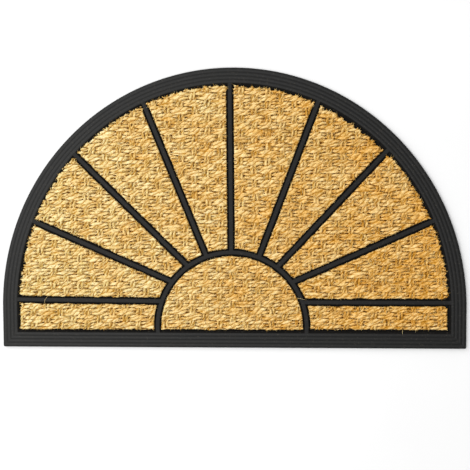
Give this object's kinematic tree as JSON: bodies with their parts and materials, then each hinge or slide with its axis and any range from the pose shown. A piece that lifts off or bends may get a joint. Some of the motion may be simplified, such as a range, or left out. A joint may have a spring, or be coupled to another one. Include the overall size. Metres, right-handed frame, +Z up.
{
  "type": "half round coir doormat",
  "caption": "Half round outdoor doormat: a black moulded rubber tray with a ridged border and sunburst bars, filled with panels of woven coir cloth.",
  "frame": {"origin": "middle of the outline's box, on the underside that lies on the floor", "axes": "+Z up out of the mat's face; +X along the straight edge, to the right seen from above; +Y from the straight edge towards the arc"},
  "size_m": [0.75, 0.45, 0.009],
  "materials": {
    "rubber": "moulded black rubber, satin, slightly dusty",
    "coir": "coarse two-ply coconut yarn in a basket weave, golden straw, matt, with loose fibres"
  },
  "bodies": {
    "root": {"rubber_tray": "rubber", "coir_sun": "coir", "coir_ray_1": "coir", "coir_ray_2": "coir", "coir_ray_3": "coir", "coir_ray_4": "coir", "coir_ray_5": "coir", "coir_ray_6": "coir", "coir_ray_7": "coir", "coir_ray_8": "coir", "coir_base_left": "coir", "coir_base_right": "coir"}
  },
  "joints": []
}
